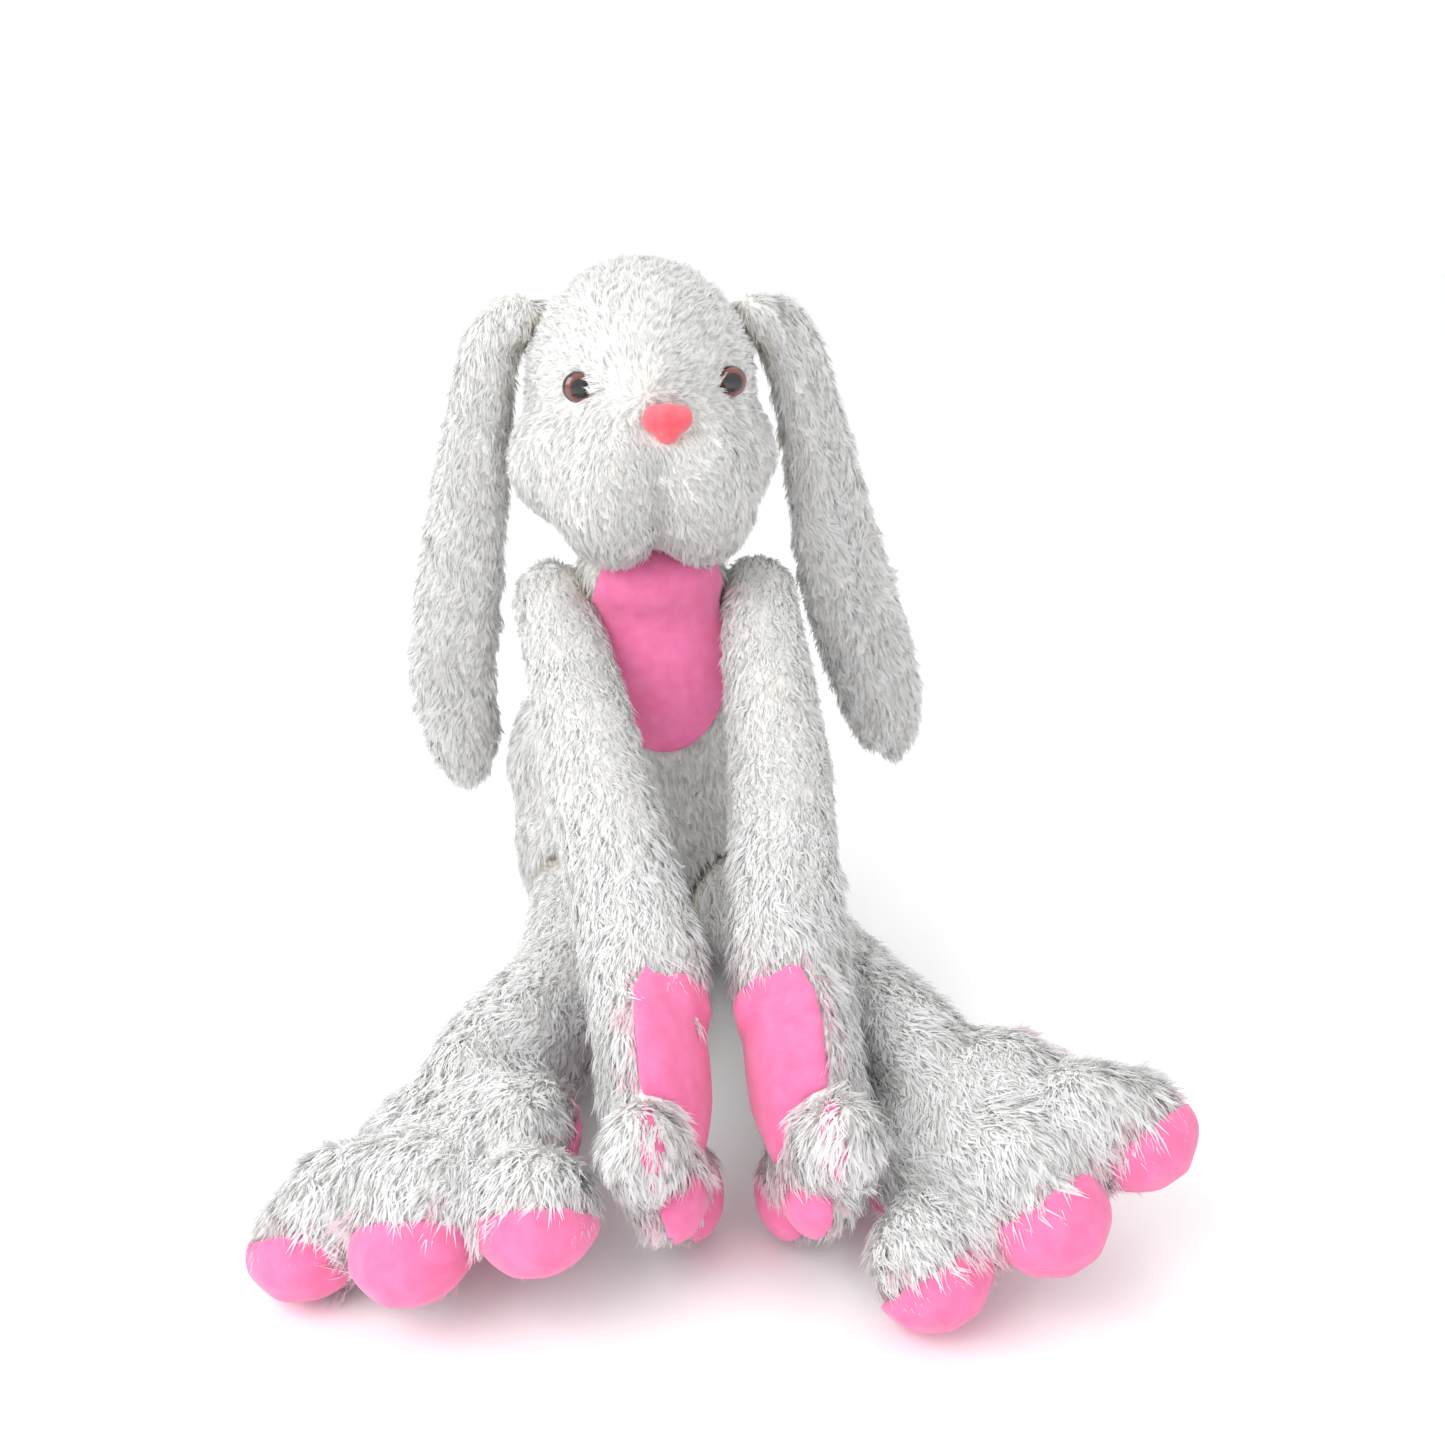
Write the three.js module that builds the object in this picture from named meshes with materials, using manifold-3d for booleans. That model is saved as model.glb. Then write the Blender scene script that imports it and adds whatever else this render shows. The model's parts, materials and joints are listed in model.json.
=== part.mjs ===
// A long-legged, lop-eared plush rabbit, sitting.
// Millimetres, +Z up. The rabbit faces -Y and its own left side is +X.
// The origin is the middle of the flat seat under the torso.
import * as THREE from 'three';
import { mergeVertices } from 'three/addons/utils/BufferGeometryUtils.js';
import Module from 'manifold-3d';

const wasm = await Module();
wasm.setup();

// ---------------------------------------------------------------- driving dimensions
const GAP = 0.6;                 // air between neighbouring stuffed pieces
const WALL = 5;                  // pile fabric of the torso and head covers
const AROUND = 14;               // facets round a joint ball
const RINGS = 8;                 // and from pole to pole

const TORSO_WIDTH = 200;         // widest, across the hips
const TORSO_DEPTH = 0.88;        // front-to-back size as a share of the width
const TORSO_HEIGHT = 262;        // seat to the neck seam
const SEAT_SHARE = 0.66;         // flat seat as a share of the torso's width

const NECK_RADIUS = 36;
const NECK_DROP = 14;            // neck centre above the torso's top seam

const HEAD_WIDTH = 164;          // across the cheeks
const HEAD_HEIGHT = 176;         // chin to crown
const HEAD_YAW = 4.5;            // degrees the face looks to its own left
const HEAD_SHIFT = -7;           // the head leans a little to its own right

const EYE_RADIUS = 9.5;
const STEM_RADIUS = 2.2;
const STEM_CLEARANCE = 0.3;
const WASHER_RADIUS = 6.2;
const WASHER_THICKNESS = 2;
const NOSE_WIDTH = 31;
const NOSE_HEIGHT = 27;

const EAR_WIDTH = 56;
const EAR_THICKNESS = 24;

const SHOULDER_HALF = 0.33 * TORSO_WIDTH;
const SHOULDER_RADIUS = 27;
const ARM_RADIUS = 32;
const WRIST_RADIUS = 30;

const LEG_RADIUS = 42;
const HIP_RADIUS = LEG_RADIUS;
const HIP_HALF = Math.max(0.245 * TORSO_WIDTH, HIP_RADIUS + 5);
const HIP_FORWARD = 0.375 * TORSO_DEPTH * TORSO_WIDTH;
const ANKLE_RADIUS = 38;

// wrap: how far the toe pads climb over the toe tips, from 0, which stops at the side seam
const HAND = { reach: 110, spacing: 36, toe: 21, thickness: 50, joint: WRIST_RADIUS, wrap: 0 };
const FOOT = { reach: 122, spacing: 57, toe: 27, thickness: 60, joint: ANKLE_RADIUS, wrap: 0.75 };

// how far each stuffed joint bends, in degrees
const ARM_RAISE = 30;
const ELBOW_BEND = 35;
const LEG_DROP = 40;             // over the edge of a shelf
const LEG_SPLAY = 20;
const KNEE_DROP = 40;
const ANKLE_UP = 10;
const ANKLE_DOWN = 25;
const WRIST_UP = 30;
const WRIST_DOWN = 5;
const EAR_FOLD = 30;

// ---------------------------------------------------------------- the skeleton at rest
const V = (x, y, z) => new THREE.Vector3(x, y, z);

// the ears hang clear of the crown, then of the cheeks and shoulders, then of the hips
const CROWN_CLEAR = 0.54 * HEAD_WIDTH;
const FLANK_CLEAR = Math.max(
  SHOULDER_HALF + SHOULDER_RADIUS, 0.525 * HEAD_WIDTH - HEAD_SHIFT) + EAR_WIDTH / 2;
const HIP_CLEAR = 0.475 * TORSO_WIDTH + EAR_WIDTH / 2;

const JOINTS = {
  R: {
    side: -1,
    shoulder: V(-SHOULDER_HALF, -8, 0.893 * TORSO_HEIGHT),
    elbow: V(-47, -150, 172),
    wrist: V(-29, -285, 120),
    hand: { along: V(0, -0.8, -0.6), palm: V(0.94, -0.3, 0.16) },
    hip: V(-HIP_HALF, -HIP_FORWARD, HIP_RADIUS + 1),
    knee: V(-60, -166, LEG_RADIUS + 1),
    ankle: V(-108, -262, ANKLE_RADIUS + 6),
    foot: { along: V(-0.27, -0.96, -0.02), up: V(-0.25, 0, 0.97) },
    ear: [V(HEAD_SHIFT - CROWN_CLEAR, 8, 408), V(-FLANK_CLEAR - 2, 10, 262), V(-HIP_CLEAR + 2, 6, 106)],
  },
  L: {
    side: 1,
    shoulder: V(SHOULDER_HALF, -8, 0.893 * TORSO_HEIGHT),
    elbow: V(59, -150, 172),
    wrist: V(41, -290, 120),
    hand: { along: V(0.02, -0.8, -0.6), palm: V(-0.98, -0.1, 0.16) },
    hip: V(HIP_HALF, -HIP_FORWARD, HIP_RADIUS + 1),
    knee: V(78, -166, LEG_RADIUS + 1),
    ankle: V(108, -288, ANKLE_RADIUS + 18),
    foot: { along: V(0.25, -0.967, -0.03), up: V(-0.42, 0, 0.9) },
    ear: [V(HEAD_SHIFT + CROWN_CLEAR, 8, 408), V(FLANK_CLEAR + 6, 10, 258), V(HIP_CLEAR + 30, 4, 108)],
  },
};

// ---------------------------------------------------------------- shape helpers
function solid(geometry) {
  const g = geometry.clone();
  g.deleteAttribute('normal');
  g.deleteAttribute('uv');
  const m = mergeVertices(g, 1e-4);
  return new wasm.Manifold(new wasm.Mesh({
    numProp: 3,
    vertProperties: Float32Array.from(m.attributes.position.array),
    triVerts: Uint32Array.from(m.index.array),
  }));
}

// flat runs of tiny facets left by the cuts are merged; nothing moves by more than a hair
function geometryOf(shape) {
  const mesh = shape.simplify(GAP / 4).getMesh();
  const g = new THREE.BufferGeometry();
  g.setAttribute('position', new THREE.BufferAttribute(mesh.vertProperties, 3));
  g.setIndex(new THREE.BufferAttribute(mesh.triVerts, 1));
  g.computeVertexNormals();
  return g;
}

function ellipsoid(centre, semi, around = 14, rings = 8) {
  const g = new THREE.SphereGeometry(1, around, rings);
  g.rotateX(Math.PI / 2);
  g.scale(semi.x, semi.y, semi.z);
  g.translate(centre.x, centre.y, centre.z);
  return solid(g);
}

const ball = (centre, radius, around = AROUND, rings = RINGS) =>
  ellipsoid(centre, V(radius, radius, radius), around, rings);

// a cup just large enough for a faceted ball of this radius to turn freely inside it
const cup = (radius) =>
  (radius + 0.3) / (Math.cos(Math.PI / AROUND) * Math.cos(Math.PI / (2 * RINGS)));

// profile points are [radius, height]; the axis runs from `from` towards `to`
// and a squashed shape is thin along the direction that is nearest front-to-back
function turned(profile, around, from, to, squash = 1) {
  const g = new THREE.LatheGeometry(profile.map(([r, h]) => new THREE.Vector2(r, h)), around);
  g.scale(1, 1, squash);
  const up = new THREE.Vector3().subVectors(to, from).normalize();
  const hint = Math.abs(up.y) > 0.95 ? V(0, 0, 1) : V(0, 1, 0);
  const across = new THREE.Vector3().crossVectors(up, hint).normalize();
  const thin = new THREE.Vector3().crossVectors(across, up);
  g.applyMatrix4(new THREE.Matrix4().makeBasis(across, up, thin));
  g.translate(from.x, from.y, from.z);
  return solid(g);
}

// the biggest body of a shape, without the slivers that a cut can leave
const largest = (shape) => shape.decompose().sort((a, b) => b.volume() - a.volume())[0];

// everything on the side of the plane that the normal points to
function beyond(point, normal, size = 900) {
  const g = new THREE.BoxGeometry(size, size, size);
  g.translate(0, size / 2, 0);
  const n = normal.clone().normalize();
  g.applyQuaternion(new THREE.Quaternion().setFromUnitVectors(V(0, 1, 0), n));
  g.translate(point.x, point.y, point.z);
  return solid(g);
}

const turnedAbout = (v, axis, degrees) =>
  v.clone().applyAxisAngle(axis.clone().normalize(), THREE.MathUtils.degToRad(degrees));

const nodes = {};

function piece(name, shape, colour, roughness, parent = root) {
  const geometry = shape.isBufferGeometry ? shape : geometryOf(shape);
  const material = new THREE.MeshStandardMaterial({ color: colour, roughness, metalness: 0 });
  const mesh = new THREE.Mesh(geometry, material);
  mesh.name = name;
  parent.add(mesh);
  nodes[name] = mesh;
  return mesh;
}

const PLUSH = 0xf4f0e8;
const FILLING = 0xfafafa;
const MINKY = 0xf27ab4;
const NOSE_RED = 0xf06474;
const EYE_BLACK = 0x1a0f0e;
const WASHER_WHITE = 0xe6e6e2;

const root = new THREE.Group();
root.name = 'plush_rabbit';

// ---------------------------------------------------------------- torso
// A pear turned round the upright axis, flattened front to back, with a flat seat.
const TORSO_PROFILE = [
  [SEAT_SHARE, 0], [0.87, 0.04], [0.98, 0.15], [1, 0.3], [0.9, 0.5],
  [0.72, 0.71], [0.55, 0.88], [0.43, 1],
];

function torsoForm(grow, around = 18) {
  const half = TORSO_WIDTH / 2;
  const points = TORSO_PROFILE.map(([r, h], i) => {
    const end = i === 0 || i === TORSO_PROFILE.length - 1;
    const lift = end ? (i === 0 ? -grow : grow) : 0;
    return [r * half + grow, h * TORSO_HEIGHT + lift];
  });
  points.unshift([0, -grow]);
  points.push([0, TORSO_HEIGHT + grow]);
  return turned(points, around, V(0, 0, 0), V(0, 0, 1), TORSO_DEPTH);
}

const limbBalls = (grow, around = AROUND, rings = RINGS) => {
  let all = null;
  for (const j of Object.values(JOINTS)) {
    const shoulder = ball(j.shoulder, cup(SHOULDER_RADIUS) + grow, around, rings);
    const pair = shoulder.add(ball(j.hip, cup(HIP_RADIUS) + grow, around, rings));
    all = all ? all.add(pair) : pair;
  }
  return all;
};

// the pink belly panel is an egg outline pushed through the front of the torso
function bellyOutline(grow) {
  const g = new THREE.CylinderGeometry(1, 1, 200, 20);
  g.scale(46 + grow, 1, 57 + grow);
  g.translate(0, -100, 0.8 * TORSO_HEIGHT);
  return solid(g);
}

const NECK = V(HEAD_SHIFT / 2, -4, TORSO_HEIGHT + NECK_DROP);
const neckOpening = turned([[0, -40], [18, -40], [18, 60], [0, 60]], 10, NECK, V(NECK.x, NECK.y, 999));

const panelSeat = torsoForm(1).intersect(bellyOutline(GAP)).subtract(torsoForm(-WALL / 2 - GAP));
const torsoHollow = torsoForm(-WALL, 12).subtract(limbBalls(WALL, 8, 6));
const torsoCover = torsoForm(0)
  .subtract(limbBalls(0))
  .subtract(torsoHollow)
  .subtract(neckOpening)
  .subtract(panelSeat);
piece('torso_cover', torsoCover, PLUSH, 0.95);
piece('torso_stuffing',
  torsoForm(-WALL - GAP, 12).subtract(limbBalls(WALL + GAP, 8, 6)), FILLING, 1);
piece('belly_panel',
  torsoForm(0).intersect(bellyOutline(0)).subtract(torsoForm(-WALL / 2)).subtract(limbBalls(0)),
  MINKY, 0.8);

// ---------------------------------------------------------------- neck
// A stuffed neck plug: it turns on the torso's top seam and the head nods over it.
piece('neck_plug',
  ball(NECK, NECK_RADIUS).subtract(beyond(V(0, 0, TORSO_HEIGHT + GAP), V(0, 0, -1))),
  PLUSH, 0.95);

// ---------------------------------------------------------------- head
const head = new THREE.Group();
head.name = 'head';
head.position.set(HEAD_SHIFT, -6, TORSO_HEIGHT + 95);
head.rotation.z = THREE.MathUtils.degToRad(HEAD_YAW);
head.updateMatrixWorld(true);
root.add(head);

const headWorld = new THREE.Matrix4().compose(head.position, head.quaternion, V(1, 1, 1));
const intoHead = headWorld.clone().invert();
const neckInHead = NECK.clone().applyMatrix4(intoHead);
const W = HEAD_WIDTH / 164;
const H = HEAD_HEIGHT / 176;

function headForm(grow, around = 18, rings = 10) {
  const s = (x, y, z) => V(x * W + grow, y * W + grow, z * H + grow);
  const skull = ellipsoid(V(0, 0, 9 * H), s(74, 76, 80), around, rings);
  const cheeks = ellipsoid(V(0, -16 * W, -33 * H), s(82, 70, 52), around, rings - 2);
  let form = skull.add(cheeks);
  if (grow < -1) {
    return form;
  }
  for (const side of [-1, 1]) {
    const lobe = ellipsoid(V(side * 26 * W, -50 * W, -38 * H), s(37, 42, 44), 12, 7);
    form = form.add(lobe);
  }
  return form;
}

// a spot on the face, found by shooting inwards from in front of it
function onFace(x, z) {
  const form = geometryOf(headForm(0));
  const probe = new THREE.Mesh(form, new THREE.MeshBasicMaterial({ side: THREE.DoubleSide }));
  const ray = new THREE.Raycaster(V(x, -400, z), V(0, 1, 0));
  return ray.intersectObject(probe)[0].point;
}

const eyes = {};
for (const side of [-1, 1]) {
  const spot = onFace(side * 45 * W, 17 * H);
  const out = V(side * 0.5, -0.86, 0.08).normalize();
  const at = (depth) => spot.clone().addScaledVector(out, -depth);
  eyes[side] = { spot, out, at };
}

const eyePocket = (side, grow) => {
  const { at } = eyes[side];
  const r = WASHER_RADIUS + GAP + grow;
  return turned([[0, -6], [r, -6], [r, 13 + grow], [0, 13 + grow]], 10, at(0), at(1));
};

let headHollow = headForm(-WALL, 12, 8).subtract(ball(neckInHead, cup(NECK_RADIUS) + WALL, 8, 6));
let headCover = headForm(0).subtract(ball(neckInHead, cup(NECK_RADIUS)));
for (const side of [-1, 1]) {
  headHollow = headHollow.subtract(eyePocket(side, WALL));
  headCover = headCover.subtract(eyePocket(side, 0));
}
const headOpening = turned([[0, 0], [16, 0], [16, 60], [0, 60]], 10, neckInHead,
  neckInHead.clone().add(V(0, 0, 1)));
headCover = headCover.subtract(headHollow).subtract(headOpening);
let headFilling = headForm(-WALL - GAP, 12, 8)
  .subtract(ball(neckInHead, cup(NECK_RADIUS) + WALL + GAP, 8, 6));
for (const side of [-1, 1]) {
  headFilling = headFilling.subtract(eyePocket(side, WALL + GAP));
}
piece('head_cover', headCover, PLUSH, 0.95, head);
piece('head_stuffing', headFilling, FILLING, 1, head);

// plastic safety eyes: a domed button with a stem, locked from inside by a washer
for (const side of [-1, 1]) {
  const { at } = eyes[side];
  const label = side < 0 ? 'R' : 'L';
  const dome = turned([[0, -6], [4, -5.6], [7, -4.2], [9, -1.5], [EYE_RADIUS, 1.5], [8.5, 4], [0, 4]],
    16, at(2), at(3)).subtract(headForm(GAP / 2));
  const stem = turned([[0, 0], [STEM_RADIUS, 0], [STEM_RADIUS, 13], [0, 13]], 8, at(0), at(1));
  const low = 8;
  const bore = STEM_RADIUS + STEM_CLEARANCE;
  const washer = turned(
    [[bore, low], [WASHER_RADIUS, low], [WASHER_RADIUS, low + WASHER_THICKNESS],
      [bore, low + WASHER_THICKNESS], [bore, low]], 12, at(0), at(1));
  piece(`eye_${label}`, dome.add(stem), EYE_BLACK, 0.08, head);
  piece(`eye_washer_${label}`, washer, WASHER_WHITE, 0.5, head);
}

// the padded velour nose is a soft triangle sitting on the muzzle
const noseSpot = onFace(0, 2 * H);
let nose = ellipsoid(noseSpot, V(NOSE_WIDTH * 0.3, 11, NOSE_HEIGHT * 0.42), 12, 7);
for (const side of [-1, 1]) {
  const lobe = V(side * NOSE_WIDTH * 0.24, noseSpot.y, noseSpot.z + NOSE_HEIGHT * 0.17);
  nose = nose.add(ellipsoid(lobe, V(NOSE_WIDTH * 0.27, 11, NOSE_HEIGHT * 0.33), 12, 7));
}
piece('nose', nose.subtract(headForm(GAP / 2)), NOSE_RED, 0.85, head);

// ---------------------------------------------------------------- ears
// Each ear is a flat stuffed strap. It hangs from the side of the crown and folds half way.
function ear(label, side) {
  const [pivot, middle, tip] = JOINTS[label].ear;
  const half = EAR_WIDTH / 2;
  const flat = EAR_THICKNESS / EAR_WIDTH;
  const fold = EAR_THICKNESS / 2;
  const upperLength = pivot.distanceTo(middle);
  const lowerLength = middle.distanceTo(tip);
  const frontToBack = V(0, 1, 0);

  const upper = turned(
    [[0, -20], [12, -16.5], [19, -7], [21, 4], [22.5, 45], [half - 1, upperLength * 0.78],
      [half, upperLength + fold], [0, upperLength + fold]], 12, pivot, middle, flat);
  const across = V(1, 0, 0);
  const barrel = (r) => {
    const g = new THREE.CylinderGeometry(r, r, 2 * half + 20, 12);
    g.rotateZ(Math.PI / 2);
    g.translate(middle.x, middle.y, middle.z);
    return solid(g);
  };
  const down = new THREE.Vector3().subVectors(middle, pivot).normalize();
  const beyondFold = beyond(middle, down);
  const upperShape = upper.subtract(beyondFold.subtract(barrel(fold)));
  piece(`ear_upper_${label}`, upperShape, PLUSH, 0.95);

  const drop = new THREE.Vector3().subVectors(tip, middle).normalize();
  let lower = turned(
    [[0, -fold], [half, -fold], [half + 1.5, lowerLength * 0.35], [half - 1, lowerLength * 0.62],
      [half - 7, lowerLength * 0.83], [half - 17, lowerLength * 0.96], [0, lowerLength]],
    12, middle, tip, flat);
  lower = lower.subtract(barrel(fold + GAP));
  for (const bend of [-EAR_FOLD, EAR_FOLD]) {
    const plane = turnedAbout(down.clone().negate(), across, -bend * 1.12);
    lower = lower.subtract(beyond(middle.clone().addScaledVector(plane, -GAP), plane));
  }
  piece(`ear_lower_${label}`, lower, PLUSH, 0.95);
}
for (const label of ['R', 'L']) {
  ear(label, JOINTS[label].side);
}

// ---------------------------------------------------------------- limb segments
// A stuffed tube from one joint to the next, with a ball end at the far joint. The near end is
// cupped round the ball that it turns on.
function segment(from, to, nearRadius, farRadius, start) {
  const length = from.distanceTo(to);
  const profile = [[0, start], [nearRadius * 0.97, start], [nearRadius, start + 8]];
  profile.push([farRadius, length]);
  for (const degrees of [30, 60]) {
    const a = THREE.MathUtils.degToRad(degrees);
    profile.push([farRadius * Math.cos(a), length + farRadius * Math.sin(a)]);
  }
  profile.push([0, length + farRadius]);
  return turned(profile, AROUND, from, to);
}

// cut back from the planes behind the joint, one for each end of its bend
function trimmed(shape, joint, previous, axis, bends) {
  const back = new THREE.Vector3().subVectors(previous, joint).normalize();
  for (const bend of bends) {
    const normal = turnedAbout(back, axis, -bend);
    shape = shape.subtract(beyond(joint.clone().addScaledVector(normal, -GAP), normal));
  }
  return shape;
}

// cut back from the torso as the limb sees it in each of its extreme poses
function clearOfTorso(shape, joint, poses) {
  for (const turns of poses) {
    const m = new THREE.Matrix4().makeTranslation(joint.x, joint.y, joint.z);
    for (const [axis, degrees] of turns.slice().reverse()) {
      m.multiply(new THREE.Matrix4().makeRotationAxis(axis, THREE.MathUtils.degToRad(-degrees)));
    }
    m.multiply(new THREE.Matrix4().makeTranslation(-joint.x, -joint.y, -joint.z));
    shape = shape.subtract(torsoForm(3).transform(m.elements));
  }
  return largest(shape);
}

// ---------------------------------------------------------------- paws
// Hand and foot share one pattern: a pile-fabric back, a smooth pad underneath and three
// stitched toes whose pads wrap up over the tips. Built pointing along -Y with the back up.
function paw(prefix, size, group, axis, bends, backwards) {
  const { reach, spacing, toe, thickness, joint, wrap } = size;
  const half = spacing + toe * 0.35;
  const centre = V(0, -reach * 0.5, 0);
  const body = (grow) => ellipsoid(centre,
    V(half + grow, reach * 0.5 + toe * 0.35 + grow, thickness / 2 + grow), 12, 6);
  const toeAt = (i) => V(i * spacing, -reach + (i === 0 ? -toe * 0.2 : toe * 0.22), 0);
  const toeForm = (i, grow) => ellipsoid(toeAt(i),
    V(toe * 1.16 + grow, toe * 1.25 + grow, toe + grow), 10, 6);
  const origin = V(0, 0, 0);
  const seam = beyond(V(0, 0, 0), V(0, 0, 1));
  // the pads wrap up over the tips of the toes, as far as this sloping plane
  const padNormal = V(0, wrap, 0.66);
  const padPoint = V(0, -reach - toe * 0.15, toe * 0.4 * wrap);
  const abovePads = (lift) => beyond(padPoint.clone().addScaledVector(padNormal, lift), padNormal);

  let cuts = ball(origin, cup(joint));
  for (const bend of bends) {
    const normal = turnedAbout(backwards, axis, -bend);
    cuts = cuts.add(beyond(normal.clone().multiplyScalar(-GAP), normal));
  }
  const toes = [-1, 0, 1].map((i) => toeForm(i, 0));
  const toesGrown = [-1, 0, 1].map((i) => toeForm(i, GAP));
  const hub = turned([[0, 0], [joint, 0], [joint, reach * 0.3], [0, reach * 0.55]], 10, origin,
    V(0, -1, 0));

  // back: the upper half of the paw with the tops of the toes
  let back = body(0).add(hub).intersect(seam);
  for (const t of toes) {
    back = back.add(t.intersect(abovePads(0)));
  }
  for (const t of toesGrown) {
    back = back.subtract(t.subtract(abovePads(0)));
  }
  piece(`${prefix}_back`, largest(back.subtract(cuts)), PLUSH, 0.95, group);

  // pad: the lower half, stopping at the toes
  let pad = body(0).add(hub).subtract(beyond(V(0, 0, -GAP), V(0, 0, 1)));
  for (const t of toesGrown) {
    pad = pad.subtract(t);
  }
  piece(`${prefix}_pad`, largest(pad.subtract(cuts)), MINKY, 0.8, group);

  toes.forEach((t, k) => {
    let toePad = t.subtract(abovePads(-GAP));
    if (k > 0) {
      toePad = toePad.subtract(toesGrown[k - 1]);
    }
    piece(`${prefix}_toe_${k + 1}`, largest(toePad.subtract(cuts)), MINKY, 0.8, group);
  });
}

// a group at the joint whose -Y looks along the limb and whose +Z is the paw's back
function pawGroup(name, joint, along, up) {
  const forward = along.clone().normalize();
  const side = new THREE.Vector3().crossVectors(up, forward).normalize();
  const top = new THREE.Vector3().crossVectors(forward, side).normalize();
  const group = new THREE.Group();
  group.name = name;
  group.position.copy(joint);
  group.quaternion.setFromRotationMatrix(
    new THREE.Matrix4().makeBasis(side, forward.clone().negate(), top));
  root.add(group);
  return group;
}

// ---------------------------------------------------------------- arms and legs
const LIFT = V(-1, 0, 0);

for (const label of ['R', 'L']) {
  const j = JOINTS[label];
  const outward = V(0, 0, j.side);

  // the upper arm is sewn to the shoulder by its ball end
  const armPoses = [0, ARM_RAISE / 2, ARM_RAISE].map((raise) => [[LIFT, raise]]);
  const sleeve = segment(j.shoulder, j.elbow, SHOULDER_RADIUS + 1, ARM_RADIUS, 0);
  piece(`upper_arm_${label}`,
    clearOfTorso(sleeve, j.shoulder, armPoses).add(ball(j.shoulder, SHOULDER_RADIUS)), PLUSH, 0.95);

  const forearm = segment(j.elbow, j.wrist, ARM_RADIUS, WRIST_RADIUS, 0)
    .subtract(ball(j.elbow, cup(ARM_RADIUS)));
  piece(`forearm_${label}`, trimmed(forearm, j.elbow, j.shoulder, LIFT, [0, ELBOW_BEND]), PLUSH, 0.95);

  const handGroup = pawGroup(`hand_${label}`, j.wrist, j.hand.along, j.hand.palm.clone().negate());
  const handBack = new THREE.Vector3().subVectors(j.elbow, j.wrist)
    .applyQuaternion(handGroup.quaternion.clone().invert()).normalize();
  const swings = [-WRIST_DOWN, WRIST_UP].map((swing) => -j.side * swing);
  paw(`hand_${label}`, HAND, handGroup, V(0, 0, 1), swings, handBack);

  // the leg turns on a stuffed root ball, up and down as well as outwards
  const legPoses = [];
  for (const drop of [0, LEG_DROP / 2, LEG_DROP]) {
    for (const splay of [0, LEG_SPLAY]) {
      legPoses.push([[LIFT, -drop], [outward, splay]]);
    }
  }
  piece(`leg_root_${label}`, ball(j.hip, HIP_RADIUS), PLUSH, 0.95);
  const thigh = segment(j.hip, j.knee, HIP_RADIUS, LEG_RADIUS, 8).subtract(ball(j.hip, cup(HIP_RADIUS)));
  piece(`thigh_${label}`, clearOfTorso(thigh, j.hip, legPoses), PLUSH, 0.95);

  const shin = segment(j.knee, j.ankle, LEG_RADIUS, ANKLE_RADIUS, 0)
    .subtract(ball(j.knee, cup(LEG_RADIUS)));
  piece(`shin_${label}`, trimmed(shin, j.knee, j.hip, LIFT, [0, -KNEE_DROP]), PLUSH, 0.95);

  const footGroup = pawGroup(`foot_${label}`, j.ankle, j.foot.along, j.foot.up);
  const footBack = new THREE.Vector3().subVectors(j.knee, j.ankle)
    .applyQuaternion(footGroup.quaternion.clone().invert()).normalize();
  paw(`foot_${label}`, FOOT, footGroup, V(-1, 0, 0), [-ANKLE_DOWN, ANKLE_UP], footBack);
}

root.updateMatrixWorld(true);

export default root;
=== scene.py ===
# %% [markdown]
# # A long-legged plush rabbit, sitting
#
# A stuffed toy is a bag of knitted pile fabric, sewn from flat pieces and filled with fibre.
# Three things give it its look: the swollen shape that the filling presses into the cloth, the
# pile that stands off the cloth and leans one way, and a few small smooth pieces, here the pads,
# the belly panel, the nose and the eyes. This script makes them in that order, around a CAD
# model that fixes the joints and the main sizes and places. The cloth swells out past it at the
# cheeks, the belly, the ears and the tops of the feet, and the nose sits a little lower.

# %% Load the frame that the CAD model gives
import json
from math import cos, exp, radians, sin, tau

import bmesh
import bpy
import numpy as np
from mathutils import Matrix, Vector, noise
from mathutils.bvhtree import BVHTree

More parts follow.
